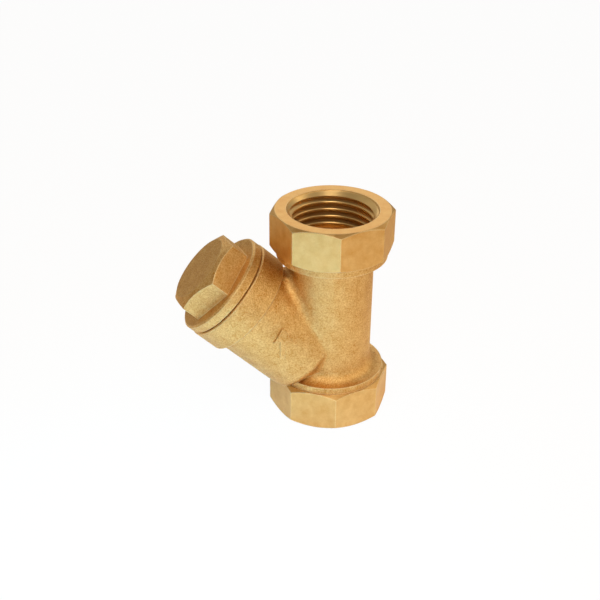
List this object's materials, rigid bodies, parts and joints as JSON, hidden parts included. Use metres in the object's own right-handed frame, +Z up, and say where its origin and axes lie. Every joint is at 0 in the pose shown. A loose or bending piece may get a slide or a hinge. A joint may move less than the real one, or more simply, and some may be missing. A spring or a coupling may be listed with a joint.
{
  "type": "brass strainer",
  "caption": "Forged brass Y-strainer with octagonal female-threaded ends, a slanted branch, a hexagon screw cap, and a screen inside.",
  "frame": {"origin": "centre of the inlet port's mouth, on the lower end face", "axes": "+Z up the run, from the inlet port to the outlet port; the branch leans up towards -X, in the XZ plane"},
  "size_m": [0.0515, 0.0292, 0.052],
  "materials": {
    "forged_brass": "shot-blasted forging, turned end faces",
    "cap_brass": "shot-blasted forging, turned head face",
    "seal_rubber": "moulded black rubber",
    "screen_steel": "rolled stainless sheet"
  },
  "bodies": {
    "housing": {"body": "forged_brass"},
    "screen": {"screen_sleeve": "screen_steel", "screen_seat_rim": "screen_steel", "screen_cap_rim": "screen_steel", "screen_seam": "screen_steel"},
    "seal": {"cap_gasket": "seal_rubber"},
    "plug": {"cap": "cap_brass"}
  },
  "joints": [
    {"name": "screen_withdraw", "type": "slide", "parent": "housing", "child": "screen", "axis": [-0.7431, 0, 0.6691], "range_m": [0, 0.03]},
    {"name": "cap_travel", "type": "slide", "parent": "screen", "child": "seal", "axis": [-0.7431, 0, 0.6691], "range_m": [0, 0.00605]},
    {"name": "cap_turn", "type": "hinge", "parent": "seal", "child": "plug", "pos_m": [-0.02467, 0, 0.03222], "axis": [-0.7431, 0, 0.6691], "range_deg": [0, 1440]}
  ],
  "couplings": [
    {"joint": "cap_travel", "follows": "cap_turn", "m_per_rad": 0.00023873}
  ]
}
